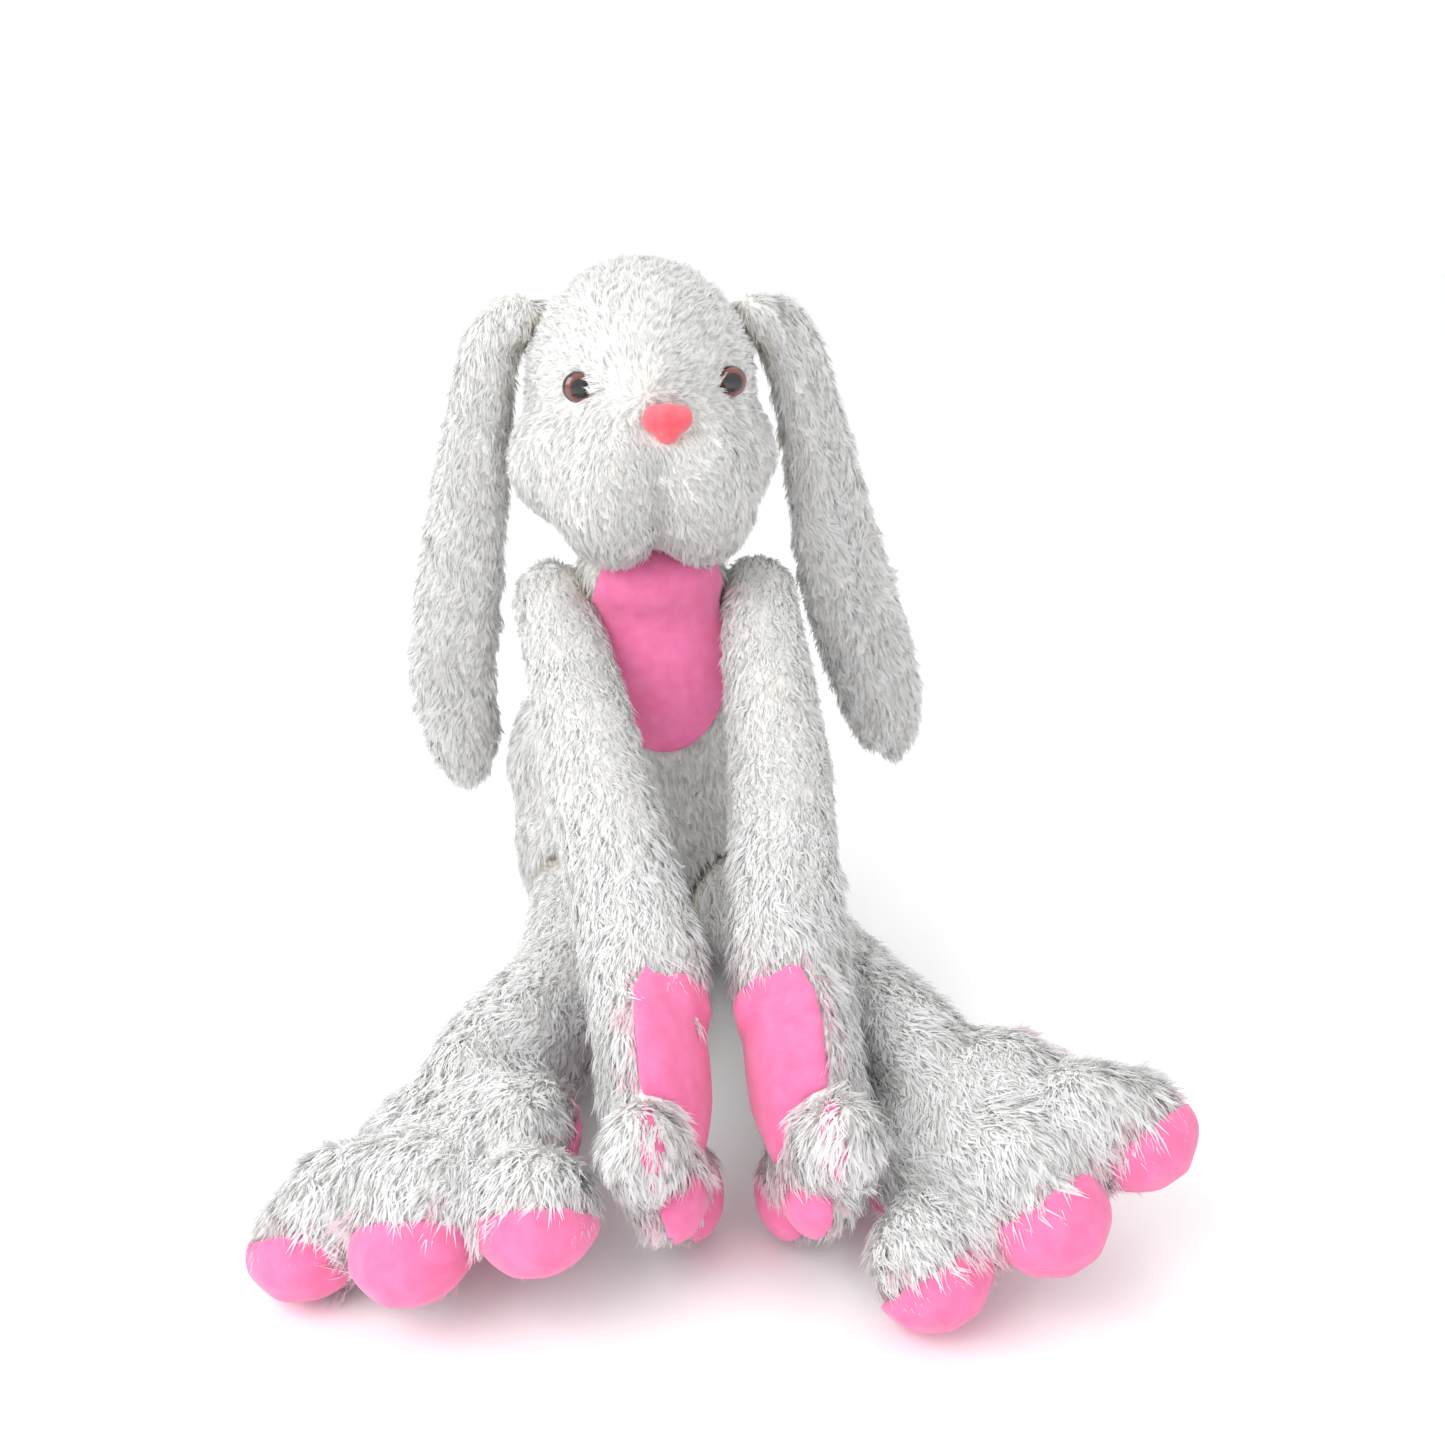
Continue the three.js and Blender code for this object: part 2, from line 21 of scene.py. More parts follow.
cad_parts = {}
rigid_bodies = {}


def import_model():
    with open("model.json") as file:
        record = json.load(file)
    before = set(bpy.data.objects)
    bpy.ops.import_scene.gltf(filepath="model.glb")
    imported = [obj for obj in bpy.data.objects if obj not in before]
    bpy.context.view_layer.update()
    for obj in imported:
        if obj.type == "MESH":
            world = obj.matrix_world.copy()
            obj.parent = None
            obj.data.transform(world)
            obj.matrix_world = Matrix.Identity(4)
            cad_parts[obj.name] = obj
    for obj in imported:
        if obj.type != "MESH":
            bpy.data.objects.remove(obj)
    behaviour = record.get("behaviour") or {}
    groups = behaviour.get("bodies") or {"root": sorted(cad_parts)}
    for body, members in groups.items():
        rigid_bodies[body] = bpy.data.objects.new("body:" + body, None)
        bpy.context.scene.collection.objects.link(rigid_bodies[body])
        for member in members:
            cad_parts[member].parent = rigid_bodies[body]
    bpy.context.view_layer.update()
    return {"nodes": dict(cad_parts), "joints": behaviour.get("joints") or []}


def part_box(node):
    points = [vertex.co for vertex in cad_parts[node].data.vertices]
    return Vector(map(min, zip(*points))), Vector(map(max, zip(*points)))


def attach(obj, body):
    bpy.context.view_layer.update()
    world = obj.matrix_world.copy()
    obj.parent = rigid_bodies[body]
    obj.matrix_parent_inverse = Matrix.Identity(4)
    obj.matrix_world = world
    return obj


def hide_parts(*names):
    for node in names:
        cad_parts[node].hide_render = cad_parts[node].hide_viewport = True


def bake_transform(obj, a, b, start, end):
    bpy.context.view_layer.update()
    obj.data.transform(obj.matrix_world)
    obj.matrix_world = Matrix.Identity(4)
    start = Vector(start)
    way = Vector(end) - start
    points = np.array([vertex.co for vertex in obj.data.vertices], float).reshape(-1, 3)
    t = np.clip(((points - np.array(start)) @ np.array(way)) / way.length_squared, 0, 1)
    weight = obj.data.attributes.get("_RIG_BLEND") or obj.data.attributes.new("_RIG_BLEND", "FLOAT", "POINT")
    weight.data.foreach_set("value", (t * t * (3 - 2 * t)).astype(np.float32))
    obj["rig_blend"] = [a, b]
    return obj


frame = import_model()
JOINT = {joint["name"]: Vector(joint["pos_m"]) for joint in frame["joints"]}

# %% [markdown]
# ## The camera and the light
#
# The toy sits on a pale table and the camera looks down at it from the front, slightly from its
# right, through a normal lens. A white toy needs soft light from a broad source: a large lamp on
# the left shapes it, a weak one above and behind lifts the crown, and a bright surrounding fills
# the shadows, so nothing is hard.

# %% Camera
CAMERA_PLACE = Vector((-0.075, -0.971, 0.498))
CAMERA_DOWN = 20
CAMERA_TURN = 7
camera = bpy.data.objects.new("Camera", bpy.data.cameras.new("Camera"))
camera.data.lens = 38.62
camera.data.sensor_width = 36
camera.location = CAMERA_PLACE
camera.rotation_euler = (radians(90 - CAMERA_DOWN), 0, radians(-CAMERA_TURN))
bpy.context.scene.collection.objects.link(camera)
bpy.context.scene.camera = camera

# %% A helper for node trees
def node(tree, kind, inputs=None, **settings):
    """Adds a node, sets its options, and fills its sockets with values or links."""
    made = tree.nodes.new(kind)
    for name, value in settings.items():
        setattr(made, name, value)
    for socket, value in (inputs or {}).items():
        if isinstance(value, bpy.types.NodeSocket):
            tree.links.new(value, made.inputs[socket])
        else:
            made.inputs[socket].default_value = value
    return made


def linear(code):
    """An sRGB hex colour as the linear colour that a shader works in."""
    values = [int(code[i:i + 2], 16) / 255 for i in (1, 3, 5)]
    return [v / 12.92 if v <= 0.04045 else ((v + 0.055) / 1.055) ** 2.4 for v in values] + [1]


# %% Light, surroundings and floor
def softbox(name, place, target, size, power):
    """A square lamp that faces a point."""
    lamp = bpy.data.lights.new(name, "AREA")
    lamp.size = size
    lamp.energy = power
    obj = bpy.data.objects.new(name, lamp)
    obj.location = place
    obj.rotation_euler = (Vector(target) - Vector(place)).to_track_quat("-Z", "Y").to_euler()
    bpy.context.scene.collection.objects.link(obj)


softbox("Key", (-1.2, -1.0, 1.3), (0, -0.1, 0.2), 1.4, 22)
softbox("Top", (0.3, 0.5, 1.9), (0, 0, 0.2), 1.6, 5)
world = bpy.data.worlds.new("Surroundings")
world.use_nodes = True
world.node_tree.nodes["Background"].inputs["Color"].default_value = (1, 1, 1, 1)
world.node_tree.nodes["Background"].inputs["Strength"].default_value = 1.02
bpy.context.scene.world = world
bpy.context.scene.view_settings.view_transform = "Standard"


def painted(name):
    """A new empty material and its node tree."""
    material = bpy.data.materials.new(name)
    material.use_nodes = True
    material.node_tree.nodes.clear()
    return material, material.node_tree


def surface(tree, colour, through=0, **sockets):
    """The shader of a material, with its plain numbers on its own sockets."""
    named = {name.replace("_", " "): value for name, value in sockets.items()}
    shader = node(tree, "ShaderNodeBsdfPrincipled", {"Base Color": colour, **named})
    if through:
        glow = node(tree, "ShaderNodeBsdfTranslucent", {"Color": colour})
        shader = node(tree, "ShaderNodeMixShader",
                      {0: through, 1: shader.outputs[0], 2: glow.outputs[0]})
    node(tree, "ShaderNodeOutputMaterial", {"Surface": shader.outputs[0]})


floor_finish, tree = painted("matt_white_table")
surface(tree, linear("#FCFCFC"), Roughness=0.8)
bm = bmesh.new()
bmesh.ops.create_grid(bm, x_segments=1, y_segments=1, size=6)
mesh = bpy.data.meshes.new("Floor")
bm.to_mesh(mesh)
bm.free()
floor = bpy.data.objects.new("Floor", mesh)
floor.data.materials.append(floor_finish)
bpy.context.scene.collection.objects.link(floor)

# %% [markdown]
# ## The finishes
#
# Long-pile plush is a polyester knit with brushed, crimped fibres. One fibre is nearly clear, so
# the pile is bright at the tips, where light gets in from all sides, and less lit at the roots.
# That shade is painted into the colour: each strand is painted warmer and darker at the root.
# The colour runs along each strand, on the strand's own map: across the map lie 32 shades in
# four families, one of them painted shade for crevices, and up it the strand goes from root to tip.

# %% Long-pile plush
SHADES = 32
THROUGH = 0.4  # share of the light that goes through a fibre
# the second family, cream, is painted shade for the pile in crevices near other pieces
SHADE_FAMILIES = ("#FFFFFF", "#FCF7EC", "#FDE6EE", "#F7F7F6")


def object_noise(tree, size_mm, detail=2):
    """Noise in the toy's own space, with lumps of a real size in millimetres."""
    place = node(tree, "ShaderNodeTexCoord").outputs["Object"]
    return node(tree, "ShaderNodeTexNoise",
                {"Vector": place, "Scale": 1000 / size_mm, "Detail": detail}).outputs["Fac"]


def ramp(tree, factor, *stops):
    """A colour ramp from (place, hex colour) stops."""
    made = node(tree, "ShaderNodeValToRGB", {"Fac": factor})
    elements = made.color_ramp.elements
    while len(elements) < len(stops):
        elements.new(1)
    for element, (place, colour) in zip(elements, stops):
        element.position = place
        element.color = linear(colour)
    return made.outputs["Color"]


def bumped(tree, height, distance_mm, strength=1):
    """A bump of a real height in millimetres."""
    return node(tree, "ShaderNodeBump",
                {"Height": height, "Distance": distance_mm / 1000, "Strength": strength}
                ).outputs["Normal"]


plush, tree = painted("long_pile_polyester_plush")
strand_map = node(tree, "ShaderNodeUVMap", uv_map="OFBake").outputs["UV"]
across, along, _ = node(tree, "ShaderNodeSeparateXYZ", {"Vector": strand_map}).outputs
# painted shade: the roots are painted darker and warmer than the white tips
fibre = ramp(tree, along, (0.0, "#F1EFEA"), (0.35, "#FAFAF9"), (0.8, "#FFFFFF"))
families = node(tree, "ShaderNodeValToRGB", {"Fac": across})
families.color_ramp.interpolation = "CONSTANT"
while len(families.color_ramp.elements) < len(SHADE_FAMILIES):
    families.color_ramp.elements.new(1)
for place, (element, code) in enumerate(zip(families.color_ramp.elements, SHADE_FAMILIES)):
    element.position = place / len(SHADE_FAMILIES)
    element.color = linear(code)
column = node(tree, "ShaderNodeMath", {0: across, 1: SHADES}, operation="MULTIPLY").outputs[0]
column = node(tree, "ShaderNodeMath", {0: column}, operation="FLOOR").outputs[0]
chance = node(tree, "ShaderNodeTexWhiteNoise", {"W": column}, noise_dimensions="1D")
shade = ramp(tree, chance.outputs["Value"], (0, "#F8F8F8"), (1, "#FFFFFF"))
dye_and_painted_shade = node(tree, "ShaderNodeMix", {0: 1.0, 6: fibre, 7: families.outputs["Color"]},
            data_type="RGBA", blend_type="MULTIPLY").outputs[2]
dye_and_painted_shade = node(tree, "ShaderNodeMix", {0: 1.0, 6: dye_and_painted_shade, 7: shade},
            data_type="RGBA", blend_type="MULTIPLY").outputs[2]
surface(tree, dye_and_painted_shade, through=THROUGH, Roughness=0.7, Specular_IOR_Level=0.25, Sheen_Weight=0.15)

# %% The knitted ground under the pile
ground, tree = painted("knitted_plush_ground")
fuzz = object_noise(tree, 1.6, 3)
# off-white with a random mottle, painted darker than the fibres: partly its own colour, partly painted shade
# under the pile
cloth = ramp(tree, object_noise(tree, 14, 3), (0.3, "#E4E2DC"), (0.7, "#F2F0EC"))
surface(tree, cloth, Roughness=0.95, Normal=bumped(tree, fuzz, 1.2))

# %% [markdown]
# Minky is a very short, dense pile. It reads as smooth, with a faint mottle where the nap has
# been stroked both ways, fine pits under 1 mm, and a soft bright edge from its fibre ends.

# %% Minky, velour, moulded eyes, washers and filling
def short_pile(name, dark, light, sheen):
    """A short-pile fabric: mottled colour, fine pits and sheen."""
    material, tree = painted(name)
    mottle = ramp(tree, object_noise(tree, 9, 4), (0.3, dark), (0.7, light))
    pits = node(tree, "ShaderNodeMath",
                {0: object_noise(tree, 0.9, 2), 1: object_noise(tree, 3.5, 3)},
                operation="ADD").outputs[0]
    surface(tree, mottle, Roughness=0.88, Sheen_Weight=sheen, Sheen_Roughness=0.5,
            Specular_IOR_Level=0.2, Normal=bumped(tree, pits, 0.35))
    return material


minky = short_pile("pink_minky", "#E6709F", "#EE7EB0", 0.3)
velour = short_pile("coral_velour", "#EC5A66", "#F57480", 0.3)

washer, tree = painted("moulded_nylon_washer")
grain = object_noise(tree, 0.8, 2)
surface(tree, ramp(tree, grain, (0.3, "#DCDCD6"), (0.7, "#ECECE8")), Roughness=0.5,
        Normal=bumped(tree, grain, 0.05))

filling, tree = painted("polyester_fibrefill")
lumps = object_noise(tree, 6, 5)
surface(tree, ramp(tree, lumps, (0.3, "#E9E9E9"), (0.7, "#FCFCFC")), Roughness=1.0,
        Normal=bumped(tree, lumps, 3))


def moulded_eye(name, centre, forward, radius):
    """Clear acrylic over a black pupil, with a dark red-brown ring round it."""
    material, tree = painted(name)
    turn = forward.to_track_quat("Z", "Y").to_matrix().inverted()
    spot = turn @ -centre
    place = node(tree, "ShaderNodeMapping", {
        "Vector": node(tree, "ShaderNodeTexCoord").outputs["Object"],
        "Location": spot, "Rotation": turn.to_euler()}).outputs[0]
    x, y, _ = node(tree, "ShaderNodeSeparateXYZ", {"Vector": place}).outputs
    flat = node(tree, "ShaderNodeCombineXYZ", {"X": x, "Y": y}).outputs[0]
    reach = node(tree, "ShaderNodeVectorMath", {0: flat}, operation="LENGTH").outputs["Value"]
    share = node(tree, "ShaderNodeMath", {0: reach, 1: radius}, operation="DIVIDE").outputs[0]
    colour = ramp(tree, share, (0.0, "#050405"), (0.58, "#070506"), (0.66, "#6B332F"),
                  (0.86, "#7E403A"), (0.93, "#120A0A"))
    surface(tree, colour, Roughness=0.06, IOR=1.49, Coat_Weight=1.0, Coat_Roughness=0.03)
    return material


# %% [markdown]
# ## Stuffed shapes
#
# Each stuffed piece starts as overlapping balls along its length, with a copy of the CAD solid
# where the CAD shape is already the right one. A voxel remesh makes one closed skin of them, a
# few rounds of smoothing take out the steps, and the skin is drawn in by the depth of the pile.
# Then the filling goes in: the Cloth solver inflates the skin with its pressure option, and a
# cap on how far a point may move keeps the toy the size that it was cut.

# %% Making a skin
PILE_DEPTH = 0.005



def placed(name, bm):
    """A mesh object at the origin, from a bmesh."""
    mesh = bpy.data.meshes.new(name)
    bm.to_mesh(mesh)
    bm.free()
    mesh.shade_smooth()
    obj = bpy.data.objects.new(name, mesh)
    bpy.context.scene.collection.objects.link(obj)
    return obj


def evaluated_mesh(obj):
    """The object's mesh with its modifiers applied."""
    graph = bpy.context.evaluated_depsgraph_get()
    return bpy.data.meshes.new_from_object(obj.evaluated_get(graph), depsgraph=graph)


def apply_modifiers(obj):
    """Bakes the modifiers into the mesh, so that none is left."""
    mesh = evaluated_mesh(obj)
    obj.modifiers.clear()
    obj.data = mesh


def add_ball(bm, centre, semi, turn=None):
    """One ball of given half sizes, added to a form."""
    turn = turn.to_4x4() if turn else Matrix()
    matrix = Matrix.Translation(centre) @ turn @ Matrix.Diagonal((*semi, 1))
    bmesh.ops.create_icosphere(bm, subdivisions=2, radius=1, matrix=matrix)


def add_chain(bm, stations, step=0.008):
    """Balls along a line of (centre, half sizes) stations."""
    for (a, semi_a), (b, semi_b) in zip(stations, stations[1:]):
        count = max(2, round((b - a).length / step))
        for k in range(count + 1):
            add_ball(bm, a.lerp(b, k / count), semi_a.lerp(semi_b, k / count))


def add_nodes(bm, *names):
    """Copies of CAD solids, added to a form."""
    for name in names:
        bm.from_mesh(frame["nodes"][name].data)
    bmesh.ops.remove_doubles(bm, verts=bm.verts, dist=1e-6)


def biggest_shell(bm):
    """Deletes everything but the largest connected shell."""
    left = set(bm.verts)
    shells = []
    while left:
        shell = {left.pop()}
        edge = list(shell)
        while edge:
            near = {e.other_vert(v) for v in edge for e in v.link_edges} & left
            left -= near
            shell |= near
            edge = list(near)
        shells.append(shell)
    keep = max(shells, key=len)
    bmesh.ops.delete(bm, geom=[v for v in bm.verts if v not in keep], context="VERTS")


def skin(name, bm, voxel=0.005, take_in=PILE_DEPTH, rounds=6):
    """One closed smooth skin round a form."""
    obj = placed(name, bm)
    remesh = obj.modifiers.new("One skin", "REMESH")
    remesh.mode = "VOXEL"
    remesh.voxel_size = voxel
    apply_modifiers(obj)
    bm = bmesh.new()
    bm.from_mesh(obj.data)
    biggest_shell(bm)
    for _ in range(rounds):
        bmesh.ops.smooth_vert(bm, verts=bm.verts, factor=0.5,
                              use_axis_x=True, use_axis_y=True, use_axis_z=True)
    bm.normal_update()
    for vert, normal in [(v, v.normal.copy()) for v in bm.verts]:
        vert.co -= normal * take_in
    bm.to_mesh(obj.data)
    bm.free()
    obj.data.shade_smooth()
    return obj


def points(obj):
    """The mesh's points, one row each."""
    flat = np.empty(len(obj.data.vertices) * 3, np.float32)
    obj.data.vertices.foreach_get("co", flat)
    return flat.reshape(-1, 3)


def fill(skins, pressure=4.0, frames=20):
    """Inflates all the skins together; each is (object, cap in metres)."""
    rest = {}
    for obj, _ in skins:
        rest[obj.name] = points(obj)
        cloth = obj.modifiers.new("Filling", "CLOTH")
        cloth.settings.use_pressure = True
        cloth.settings.uniform_pressure_force = pressure
        cloth.settings.effector_weights.gravity = 0
        cloth.settings.quality = 4
        cloth.collision_settings.use_collision = False
        cloth.point_cache.frame_start = 1
        cloth.point_cache.frame_end = frames
    for number in range(1, frames + 1):
        bpy.context.scene.frame_set(number)
    for obj, cap in skins:
        apply_modifiers(obj)
        moved = points(obj) - rest[obj.name]
        far = np.linalg.norm(moved, axis=1, keepdims=True)
        moved *= np.minimum(1, cap / np.maximum(far, 1e-9))
        obj.data.vertices.foreach_set("co", (rest[obj.name] + moved).ravel())
    bpy.context.scene.frame_set(1)
    for obj, _ in skins:
        smooth = obj.modifiers.new("Smooth cloth", "SUBSURF")
        smooth.levels = smooth.render_levels = 1
        apply_modifiers(obj)
        obj.data.shade_smooth()


# %% [markdown]
# ## Torso, neck and head
#
# The torso is a pear with a flat seat. The head is a wide ball with two soft lobes under the
# nose, and a seam runs between them from the nose to the chin, so the cloth dips there.

# %% Torso, neck and head
def middle(node_name):
    """The centre of a CAD node."""
    low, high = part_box(node_name)
    return (low + high) / 2


NOSE = middle("nose")
EYES = {side: middle(f"eye_{side}") for side in "RL"}
across_eyes = EYES["L"] - EYES["R"]
FACE_SIDE = Vector((across_eyes.x, across_eyes.y, 0)).normalized()
FACE = Vector((FACE_SIDE.y, -FACE_SIDE.x, 0))
NECK = JOINT["neck_turn"]
HEAD_LOW, HEAD_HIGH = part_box("head_cover")
HEAD_CENTRE = Vector(((HEAD_LOW.x + HEAD_HIGH.x) / 2, -0.006, HEAD_HIGH.z - 0.089))
BROW_TURN = FACE_SIDE.to_track_quat("X", "Z").to_matrix()


def in_head(side, ahead, rise):
    """A place in the head, in metres along the face's own directions."""
    return HEAD_CENTRE + FACE_SIDE * side + FACE * ahead + Vector((0, 0, rise))


bm = bmesh.new()
add_nodes(bm, "torso_cover", "torso_stuffing", "belly_panel")
add_ball(bm, NECK + Vector((0, -0.01, -0.026)), Vector((0.052, 0.046, 0.032)))
add_ball(bm, middle("torso_cover") + Vector((0, 0, -0.012)), Vector((0.107, 0.075, 0.085)))
torso = skin("torso", bm, take_in=0.002, rounds=8)

bm = bmesh.new()
add_nodes(bm, "neck_plug")
add_ball(bm, middle("neck_plug"), Vector((0.036, 0.036, 0.03)))
neck = skin("neck", bm, take_in=0.004)

bm = bmesh.new()
add_nodes(bm, "head_cover", "head_stuffing")
add_ball(bm, in_head(-0.003, 0.012, -0.032), Vector((0.0895, 0.07, 0.058)), BROW_TURN)
for cheek in (-0.026, 0.026):
    add_ball(bm, in_head(cheek, 0.046, -0.049), Vector((0.041, 0.046, 0.048)), BROW_TURN)
head = skin("head", bm, voxel=0.0045, take_in=0.0035, rounds=7)

print("torso", len(torso.data.vertices), "head", len(head.data.vertices), "face", FACE)

# %% [markdown]
# ## Ears
#
# The ears hang from the sides of the crown down to the hips. The rabbit's right ear is one flat,
# lightly filled bag. Its left ear is folded along its length, so it shows a front roll and,
# behind it, a back roll, with a crease that wanders from the root to the tip. A roll is a line
# of flattened balls between two edges, so each table gives edges at a few heights.

# %% Ears
EAR_FRONT = -0.002
EAR_BACK = 0.013
ROLL_THICKNESS = 0.0115

# height, then the two edges, in millimetres from the toy's middle
RIGHT_EAR = ((411, -62, -103), (396, -74, -118), (370, -79, -127), (345, -82, -133),
             (308, -85, -143), (269, -89, -152), (230, -93, -160), (196, -97, -165),
             (161, -100, -164), (133, -103, -155), (114, -112, -143))
LEFT_FRONT_ROLL = ((411, 50, 80), (392, 64, 88), (367, 72, 96), (342, 77, 103), (303, 82, 116),
                   (264, 87, 124), (223, 95, 131), (188, 108, 141), (152, 122, 155),
                   (128, 138, 160))
LEFT_BACK_ROLL = ((409, 60, 97), (392, 70, 111), (367, 82, 120), (342, 90, 128), (303, 100, 141),
                  (264, 106, 155), (223, 114, 169), (188, 126, 180), (152, 142, 186),
                  (128, 150, 184), (116, 156, 176))


def add_roll(bm, edges, depth):
    """A flattened roll between two edges."""
    stations = []
    for height, near, far in edges:
        centre = Vector(((near + far) / 2000, depth, height / 1000))
        stations.append((centre, Vector((abs(far - near) / 2000, ROLL_THICKNESS, 0.011))))
    add_chain(bm, stations)


bm = bmesh.new()
add_roll(bm, RIGHT_EAR, 0.007)
ear_skins = {"R": skin("ear_R", bm, take_in=-0.0005, rounds=4)}
bm = bmesh.new()
add_roll(bm, LEFT_FRONT_ROLL, EAR_FRONT)
add_roll(bm, LEFT_BACK_ROLL, EAR_BACK)
ear_skins["L"] = skin("ear_L", bm, take_in=-0.0005, rounds=3)

# %% [markdown]
# ## Arms and legs
#
# Each limb is one long stuffed tube, sewn to the torso at its top. The paws are wider and
# flatter than the tubes, with three toes each. The toes and the underside are covered in minky,
# so every paw gets a whole pile skin first, and its pads are separate swollen pieces on it.

# %% Arms and legs
SHOULDER, ARM, WRIST = 0.028, 0.032, 0.031
LEG, ANKLE = 0.042, 0.039


def tube(bm, *stations):
    """A round tube through (centre, radius) stations."""
    add_chain(bm, [(centre, Vector((radius,) * 3)) for centre, radius in stations])


PAW_NODES = ("back", "pad", "toe_1", "toe_2", "toe_3")
limb_skins = {}
for side in "RL":
    bm = bmesh.new()
    shoulder, elbow, wrist = [JOINT[f"{name}_{side}"]
                              for name in ("arm_raise", "elbow_bend", "wrist_swing")]
    tube(bm, (shoulder, SHOULDER), (elbow, ARM), (wrist, WRIST))
    add_nodes(bm, *[f"hand_{side}_{name}" for name in PAW_NODES])
    limb_skins["arm", side] = skin(f"arm_{side}", bm, take_in=0.003)
    bm = bmesh.new()
    hip, knee, ankle = [JOINT[f"{name}_{side}"]
                        for name in ("leg_raise", "knee_bend", "ankle_bend")]
    tube(bm, (hip, LEG), (knee, LEG), (ankle, ANKLE))
    add_nodes(bm, *[f"foot_{side}_{name}" for name in PAW_NODES])
    outer = max(("toe_1", "toe_3"), key=lambda name: abs(middle(f"foot_{side}_{name}").x))
    for name, reach in (("toe_2", 0.4), (outer, 0.3)):
        at = middle(f"foot_{side}_{name}").lerp(middle(f"foot_{side}_back"), reach)
        add_ball(bm, at + Vector((0, 0, 0.012)), Vector((0.031, 0.034, 0.027)))
    limb_skins["leg", side] = skin(f"leg_{side}", bm, take_in=0.003)

# %% Pads and nose
PAD_NODES = ("pad", "toe_1", "toe_2", "toe_3")


def near_toe(side):
    """The front toe of a hand; the long pile of the paw hides its pad."""
    return min(("toe_1", "toe_3"), key=lambda name: middle(f"hand_{side}_{name}").y)


pads = {}
for paw, side in (("hand", "R"), ("hand", "L"), ("foot", "R"), ("foot", "L")):
    for part in PAD_NODES:
        bm = bmesh.new()
        add_nodes(bm, f"{paw}_{side}_{part}")
        if paw == "hand" and part == "pad":
            palm, tip = middle(f"hand_{side}_pad"), middle(f"hand_{side}_toe_2")
            add_ball(bm, palm.lerp(tip, 0.62), Vector((0.013, 0.017, 0.02)))
        hidden = paw == "hand" and part == near_toe(side)
        pads[paw, side, part] = skin(f"{paw}_{side}_{part}_minky", bm, voxel=0.003,
                                     take_in=0.0045 if hidden else 0.0004, rounds=4)
bm = bmesh.new()
add_nodes(bm, "nose")
add_ball(bm, NOSE + FACE * 0.002 + Vector((0, 0, 0.005)), Vector((0.0105, 0.006, 0.008)), BROW_TURN)
bmesh.ops.translate(bm, verts=bm.verts,
                    vec=FACE_SIDE * 0.003 + FACE * 0.002 + Vector((0, 0, -0.005)))
nose = skin("nose_velour", bm, voxel=0.0018, take_in=0.0, rounds=3)

# %% [markdown]
# Now everything is filled at once: one run of the solver inflates all the skins side by side.

# %% Fill
fill([(torso, 0.004), (neck, 0.003), (head, 0.004), (nose, 0.0012)]
     + [(obj, 0.003) for obj in ear_skins.values()]
     + [(obj, 0.004) for obj in limb_skins.values()]
     + [(obj, 0.0022) for obj in pads.values()])


SEAM_DEPTH = 0.0035
SEAM_WIDTH = 0.007
SEAM_START = 0.008  # how far below the middle of the nose the seam begins
SEAM_FADE = 0.02


def seam_below_nose(point):
    """How far the chin seam draws the cloth in at a point."""
    off = (point - NOSE).dot(FACE_SIDE)
    ahead = (point - HEAD_CENTRE).dot(FACE)
    if ahead < 0.02 or point.z > NOSE.z - SEAM_START:
        return 0
    fade = min(1, (NOSE.z - SEAM_START - point.z) / SEAM_FADE)
    return SEAM_DEPTH * fade * exp(-(off / SEAM_WIDTH) ** 2)


bm = bmesh.new()
bm.from_mesh(head.data)
bm.normal_update()
for vert, normal in [(v, v.normal.copy()) for v in bm.verts]:
    vert.co -= normal * seam_below_nose(vert.co)
bm.to_mesh(head.data)
bm.free()

# %% [markdown]
# ## Belly panel
#
# The belly is one egg-shaped piece of minky, let into the front of the torso below the chin. A
# grid rounded to the egg outline is projected on the torso, points that go past the torso are
# dropped, and Solidify gives it a thickness.

# %% Belly panel
PANEL_HALF = (0.044, 0.071)
PANEL_CENTRE = 0.2226
PANEL_TUCK = 0.264
PANEL_LIFT = 0.0035
PANEL_THICKNESS = 0.003
PANEL_START = -0.15

bm = bmesh.new()
bmesh.ops.create_grid(bm, x_segments=44, y_segments=52, size=1)
for vert in bm.verts:
    u, v, _ = vert.co
    disc_x, disc_z = u * (1 - v * v / 2) ** 0.5, v * (1 - u * u / 2) ** 0.5
    egg = 1 - 0.1 * disc_z
    height = PANEL_CENTRE + disc_z * PANEL_HALF[1]
    height = min(height, PANEL_TUCK + (height - PANEL_TUCK) * 0.3)
    vert.co = Vector((disc_x * PANEL_HALF[0] * egg, PANEL_START, height))
belly = placed("belly_panel_minky", bm)
wrap = belly.modifiers.new("On the torso", "SHRINKWRAP")
wrap.wrap_method = "PROJECT"
wrap.use_project_y = True
wrap.use_positive_direction = True
wrap.use_negative_direction = False
wrap.target = torso
wrap.offset = PANEL_LIFT
apply_modifiers(belly)
bm = bmesh.new()
bm.from_mesh(belly.data)
missed = [vert for vert in bm.verts if vert.co.y < PANEL_START + 0.0001]
print("panel points", len(bm.verts), "of which beside the torso", len(missed))
bmesh.ops.delete(bm, geom=missed, context="VERTS")
bm.to_mesh(belly.data)
bm.free()
thick = belly.modifiers.new("Thickness", "SOLIDIFY")
thick.thickness = PANEL_THICKNESS
thick.offset = 0
apply_modifiers(belly)
print("belly", [tuple(round(v, 3) for v in corner)
                for corner in (points(belly).min(0), points(belly).max(0))])

# %% Eyes
EYE_RADIUS = 0.0092
EYE_DOME = 0.0058
EYE_LIFT = 0.0045


def tree_of(obj):
    """A search tree for the nearest surface of a piece."""
    return BVHTree.FromObject(obj, bpy.context.evaluated_depsgraph_get())


